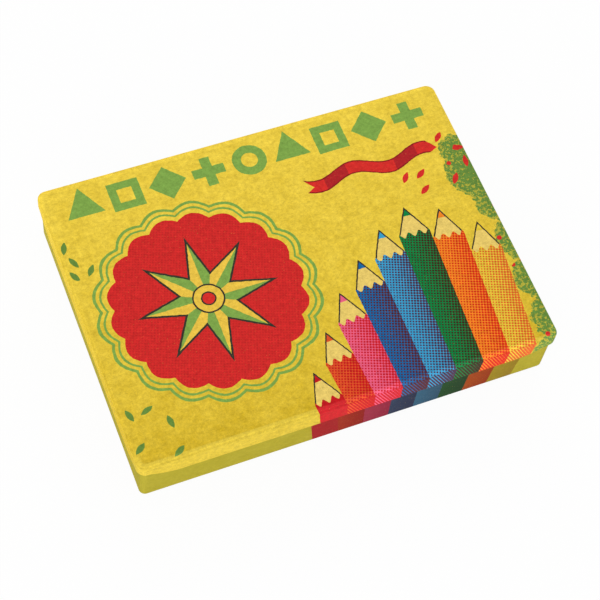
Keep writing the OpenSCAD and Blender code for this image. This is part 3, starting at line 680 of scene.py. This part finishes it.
def lacquered_cedar(pencil, colour):
    """Cedar slats, planed, lacquered in several coats and sharpened: glossy colour on
    the six flats, two gold foil rings near the tail, and bare wood with lengthwise
    grain on the cone and the sawn tail."""
    material, tree, shader = new_material(pencil + "_lacquered_cedar")
    place, x, tail = from_pencil_axis(tree, pencil)
    folded = add(tree, "VectorMath.ABSOLUTE", place)
    # lacquer lies on the six flats, and the knife has taken it off all that is inside them
    beside, above = add(tree, "SeparateXYZ", folded, out=1), add(tree, "SeparateXYZ", folded, out=2)
    slanting = add(tree, "Math.MULTIPLY", above, math.cos(math.radians(30)))
    slanting = add(tree, "Math.MULTIPLY_ADD", beside, math.sin(math.radians(30)), slanting)
    cut = add(tree, "Math.LESS_THAN", add(tree, "Math.MAXIMUM", beside, slanting), PENCIL_FLAT - HAIR)
    sawn = add(tree, "Math.LESS_THAN", x, tail + HAIR / 2)
    bare = add(tree, "Math.MAXIMUM", cut, sawn)

    streaks = add(tree, "TexNoise", add(tree, "VectorMath.MULTIPLY", place, (1 / 16, 2.2, 2.2)), 1, 4, 0.6)
    wood = add(tree, "Mix.RGBA", add(tree, "MapRange", streaks, 0.35, 0.65), "#B9794A", "#DDA878")
    # runs and thin places of the lacquer
    flow = add(tree, "TexNoise", add(tree, "VectorMath.MULTIPLY", place, (1 / 20, 1 / 3, 1 / 3)), 1, 3, 0.6)
    lacquer = add(tree, "HueSaturation", 0.5, 1, add(tree, "MapRange", flow, *NOISE, 0.93, 1.06), 1, colour)
    rings = [add(tree, "Math.COMPARE", x, tail + away, half) for away, half in FOIL_RINGS]
    foil = add(tree, "Math.MAXIMUM", *rings)
    paint = add(tree, "Mix.RGBA", foil, lacquer, "#D8B45A")
    scratches = add(tree, "TexNoise", add(tree, "VectorMath.MULTIPLY", place, (1 / 8, 3, 3)), 1, 3, 0.7)
    gloss = add(tree, "MapRange", scratches, 0.35, 0.75, 0.2, 0.42)
    relief = add(tree, "Mix.FLOAT", bare, add(tree, "Math.MULTIPLY", flow, 0.4), streaks)
    coat_with(
        tree,
        shader,
        Base_Color=add(tree, "Mix.RGBA", bare, paint, wood),
        Metallic=add(tree, "Math.MULTIPLY", foil, add(tree, "Math.SUBTRACT", 1, bare)),
        Roughness=add(tree, "Mix.FLOAT", bare, gloss, add(tree, "MapRange", streaks, 0, 1, 0.65, 0.8)),
        IOR=1.5,
        Normal=add(tree, "Bump", 0.3, 0.00006, 1, relief),
    )
    return material


def wax_core(pencil, colour):
    """Wax, clay and pigment, extruded and sharpened: matt colour with a waxy bloom, and
    the fine turns that the sharpener leaves."""
    material, tree, shader = new_material(pencil + "_wax_core")
    place, x, _ = from_pencil_axis(tree, pencil)
    # the turns are about 0.1 mm apart, drawn 0.4 mm apart so that they show
    turns = add(tree, "Math.SINE", add(tree, "Math.MULTIPLY", x, 2 * math.pi / 0.4))
    bloom = add(tree, "TexNoise", place, 1 / 1.2, 3, 0.6)
    value = add(tree, "MapRange", bloom, *NOISE, 0.88, 1.08)
    coat_with(
        tree,
        shader,
        Base_Color=add(tree, "HueSaturation", 0.5, 0.96, value, 1, colour),
        Roughness=add(tree, "MapRange", bloom, *NOISE, 0.42, 0.6),
        IOR=1.45,
        Normal=add(tree, "Bump", 0.15, 0.00003, 1, turns),
    )
    return material


# ---- floor, light and camera ----


def unlit_when_seen(tree, share):
    """How much of a background shows as plain white: its share where the camera, a
    reflection or clear material looks at it, and nothing where it only gives light."""
    seen = add(tree, "LightPath")
    rays = {s.name: s for s in seen.node.outputs}
    any_ray = add(tree, "Math.MAXIMUM", rays["Is Camera Ray"], rays["Is Glossy Ray"])
    any_ray = add(tree, "Math.MAXIMUM", any_ray, rays["Is Transmission Ray"])
    return add(tree, "Math.MULTIPLY", any_ray, share)


def lay_floor():
    """White card under the tin, which keeps a faint shadow."""
    bpy.ops.object.select_all(action="DESELECT")
    bpy.ops.mesh.primitive_plane_add(size=FLOOR_SIZE, location=(0, 0, 0))
    floor = bpy.context.object
    floor.name = "floor"
    material, tree, shader = new_material("white_card")
    fibre = add(tree, "TexNoise", in_millimetres(tree), 1 / 3, 3, 0.6)
    card = add(tree, "Mix.RGBA", fibre, "#F6F6F5", "#FBFBFA")
    coat_with(tree, shader, Base_Color=card, Roughness=0.9, Specular_IOR_Level=0.1)
    glow = add(tree, "Emission", WHITE, 1)
    mixed = add(tree, "MixShader", unlit_when_seen(tree, FLOOR_GLOW), shader.outputs[0], glow)
    tree.links.new(mixed, tree.nodes["Material Output"].inputs["Surface"])
    floor.data.materials.append(material)


def light_room(level):
    """A plain studio: even pale light, seen as white."""
    world = bpy.data.worlds.new("studio")
    world.use_nodes = True
    tree = world.node_tree
    strength = add(tree, "MapRange", unlit_when_seen(tree, 1), 0, 1, level, 1)
    tree.links.new(strength, tree.nodes["Background"].inputs["Strength"])
    tree.nodes["Background"].inputs["Color"].default_value = linear(WHITE)
    bpy.context.scene.world = world


def softbox(name, place, width, height, power):
    """A rectangular soft light at a place, turned to the tin."""
    lamp = bpy.data.lights.new(name, "AREA")
    lamp.shape, lamp.size, lamp.size_y, lamp.energy = "RECTANGLE", width, height, power
    light = bpy.data.objects.new(name, lamp)
    bpy.context.collection.objects.link(light)
    light.location = place
    light.rotation_euler = (Vector(LIT_PLACE) - Vector(place)).to_track_quat("-Z", "Y").to_euler()


def place_camera():
    """The camera: where it stands, what is ahead of it and which way is up."""
    data = bpy.data.cameras.new("camera")
    data.sensor_width, data.lens = SENSOR_WIDTH, LENS
    camera = bpy.data.objects.new("camera", data)
    bpy.context.collection.objects.link(camera)
    ahead, up = Vector(CAMERA_AHEAD).normalized(), Vector(CAMERA_UP).normalized()
    across = ahead.cross(up)
    camera.matrix_world = Matrix((across, up, -ahead)).transposed().to_4x4()
    camera.location = CAMERA_PLACE
    bpy.context.scene.camera = camera


# ---- the object ----

dress("lid_shell", printed_tinplate("litho_printed_tinplate_lid", LID_CORNER, True))
dress("base_shell", printed_tinplate("litho_printed_tinplate_base", BASE_CORNER, False))
tinplate, wire = bare_tinplate(), drawn_steel_wire()
for side in ("left", "right"):
    dress(side + "_hinge_tongue", tinplate)
    dress(side + "_hinge_pin", wire)
dress("pencil_tray", vacuum_formed_polystyrene())
for pencil, colour in PENCILS.items():
    dress(pencil + "_casing", lacquered_cedar(pencil, colour))
    dress(pencil + "_lead", wax_core(pencil, colour))

lay_floor()
light_room(ROOM_LIGHT)
for name, (place, width, height, power) in SOFTBOXES.items():
    softbox(name, place, width, height, power)
place_camera()
bpy.context.scene.view_settings.view_transform = "Standard"
